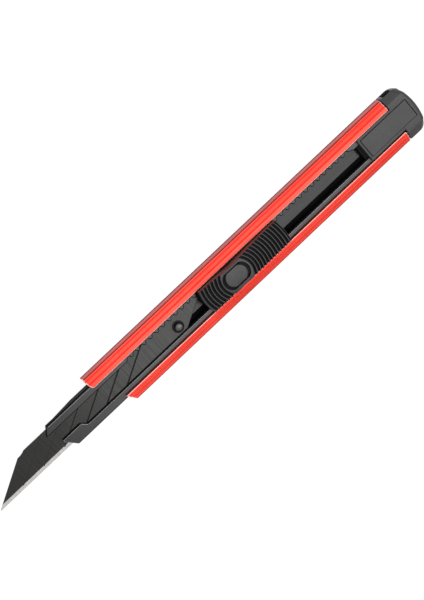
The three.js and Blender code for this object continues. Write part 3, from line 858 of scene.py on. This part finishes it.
def make_cap():
    side = handle_side(False, CAP_OPENING)
    top = [(y, RAIL_TOP) for y in (-3.2, -1.6, 0, 1.6, 3.2)]
    outline = side + mirrored(side) + top
    rings = []
    for back, amount in ((0, 0.12), (0.12, 0.0)):
        rings.append([(at(HANDLE_REAR + 0.04) - back, y, z) for y, z in inset(outline, amount)])
    rings.append([(end_x(y) + 2.0, y, z) for y, z in outline])
    fillet = CAP_FILLET
    for i in range(8):
        a = math.pi / 2 * i / 7
        ring = []
        for y, z in inset(outline, fillet * (1 - math.cos(a))):
            ring.append((end_x(y) + fillet * (1 - math.sin(a)), y, z))
        rings.append(ring)
    last = rings[-1]
    for k in (0.8, 0.55, 0.3, 0.1):
        rings.append([(end_x(y * k), y * k, 3.8 + (z - 3.8) * k) for x, y, z in last])
    body = loft(rings)
    tongue = plan_prism(rounded([(at(HANDLE_REAR + 1), -TONGUE_HALF), (at(TONGUE), -TONGUE_HALF),
                                 (at(TONGUE), TONGUE_HALF), (at(HANDLE_REAR + 1), TONGUE_HALF)], 0.35),
                        5.5, RAIL_TOP - 0.12)
    spigot = box(at(HANDLE_REAR + 1), at(TONGUE), -5.15, 5.3, FLOOR + 0.15, RAIL_UNDER - 0.2)
    plug = box(at(HANDLE_REAR), at(TONGUE - 1), -4.5, 5.1, FLOOR + SHEET + 0.04, 5.2)
    body = combine(body, "UNION", tongue, spigot, plug)
    front, rear, low, high = SIDE_SLOT
    slot = side_prism(rounded([(at(rear), low), (at(front), low), (at(front), high), (at(rear), high)], 0.5),
                      -WIDE, WIDE)
    front, rear, half = PLATE
    x0, x1, y0, y1 = at(rear + 0.2), at(front - 0.3), -half - 0.22, half + 0.07
    bed = plan_prism(rounded([(x0, y0), (x1, y0), (x1, y1), (x0, y1)], 0.3), PLATE_BED, WIDE)
    body = combine(body, "DIFFERENCE", slot, bed)
    soften(body, 0.09, segments=2, angle=38)
    # The plug ahead of the tongue stands in for the tongue's shadow at the channel's end and is painted with
    # shade
    paint(body, 1, lambda c, n: c.x > at(TONGUE) + 0.05)
    return piece("end_cap_look", body, "cap", ["end_cap"], [CAP, SLIDER_GROOVE_SHADE], sharp=22)


def make_plate():
    front, rear, half = PLATE
    body = plan_prism(rounded([(at(rear), -half), (at(front), -half), (at(front), half), (at(rear), half)],
                              0.25), PLATE_BED, RAIL_TOP)
    return piece("cap_plate_look", soften(body, 0.1, angle=40), "cap", ["cap_plate"], [CAP])


make_handle()
make_channel()
make_blade()
make_peg()
make_carrier()
make_shoe()
make_spring()
make_slider()
make_pad()
make_cap()
make_plate()

# ---------------------------------------------------------------- stage

floor_mesh = bpy.data.meshes.new("floor")
floor_mesh.from_pydata([(-3, -3, 0), (3, -3, 0), (3, 3, 0), (-3, 3, 0)], [], [(0, 1, 2, 3)])
floor = bpy.data.objects.new("floor", floor_mesh)
bpy.context.scene.collection.objects.link(floor)
paper = Nodes("pale_paper")
paper.set(Roughness=0.9, Specular_IOR_Level=0.1, Emission_Color=(1, 1, 1, 1), Emission_Strength=0.9)
paper.link(paper.ramp(paper.noise(900), [(0.3, (0.17, 0.17, 0.17)), (0.7, (0.19, 0.19, 0.19))]),
           paper.shader.inputs["Base Color"])
floor_mesh.materials.append(paper.material)

world = bpy.data.worlds.new("studio")
world.use_nodes = True
sky = world.node_tree
direction = sky.nodes.new("ShaderNodeTexCoord")
axes = sky.nodes.new("ShaderNodeSeparateXYZ")
fade = sky.nodes.new("ShaderNodeMapRange")
# The studio is a little darker behind the knife's rear end
for socket, value in {"From Min": -0.4, "From Max": 0.0, "To Min": 0.72, "To Max": 1.0}.items():
    fade.inputs[socket].default_value = value
sky.links.new(direction.outputs["Generated"], axes.inputs["Vector"])
sky.links.new(axes.outputs["X"], fade.inputs["Value"])
sky.links.new(fade.outputs["Result"], sky.nodes["Background"].inputs["Strength"])
sky.nodes["Background"].inputs["Color"].default_value = (1, 1, 1, 1)
bpy.context.scene.world = world


def softbox(name, place, target, width, height, radiance):
    """A flat square-cornered light at place that faces target; radiance is relative to the white studio."""
    light = bpy.data.lights.new(name, "AREA")
    light.shape = "RECTANGLE"
    light.size = width
    light.size_y = height
    light.energy = radiance * math.pi * width * height
    obj = bpy.data.objects.new(name, light)
    obj.location = place
    obj.rotation_euler = (Vector(target) - Vector(place)).to_track_quat("-Z", "X").to_euler()
    bpy.context.scene.collection.objects.link(obj)


softbox("key", (-0.31, 0.04, 0.60), (-0.31, 0.04, 0), 0.68, 0.36, 2.5)
softbox("fill", (-0.08, -0.435, 0.60), (-0.08, -0.1, 0), 0.56, 0.30, 1.35)
softbox("spark", (0.2, -0.15, 0.66), (0, 0, 0), 0.1, 0.1, 8.0)

scene = bpy.context.scene
scene.view_settings.view_transform = "Standard"

LENS = 118.2
SENSOR_WIDTH = 36
VIEW_AZIMUTH = math.radians(-69.27)
VIEW_HEIGHT = math.radians(72.475)
VIEW_UP = math.radians(-131.40)
DISTANCE = 0.5961
AIM = Vector((-0.00110, 0.00184, 0.00494))
level = math.cos(VIEW_HEIGHT)
away = Vector((level * math.cos(VIEW_AZIMUTH), level * math.sin(VIEW_AZIMUTH), math.sin(VIEW_HEIGHT)))
up_hint = Vector((math.cos(VIEW_UP), math.sin(VIEW_UP), 0))
right = up_hint.cross(away).normalized()
up = away.cross(right)
camera_data = bpy.data.cameras.new("camera")
camera_data.lens = LENS
camera_data.sensor_width = SENSOR_WIDTH
camera = bpy.data.objects.new("camera", camera_data)
turn = Matrix((right, up, away)).transposed().to_4x4()
camera.matrix_world = Matrix.Translation(AIM + away * DISTANCE) @ turn
scene.collection.objects.link(camera)
scene.camera = camera
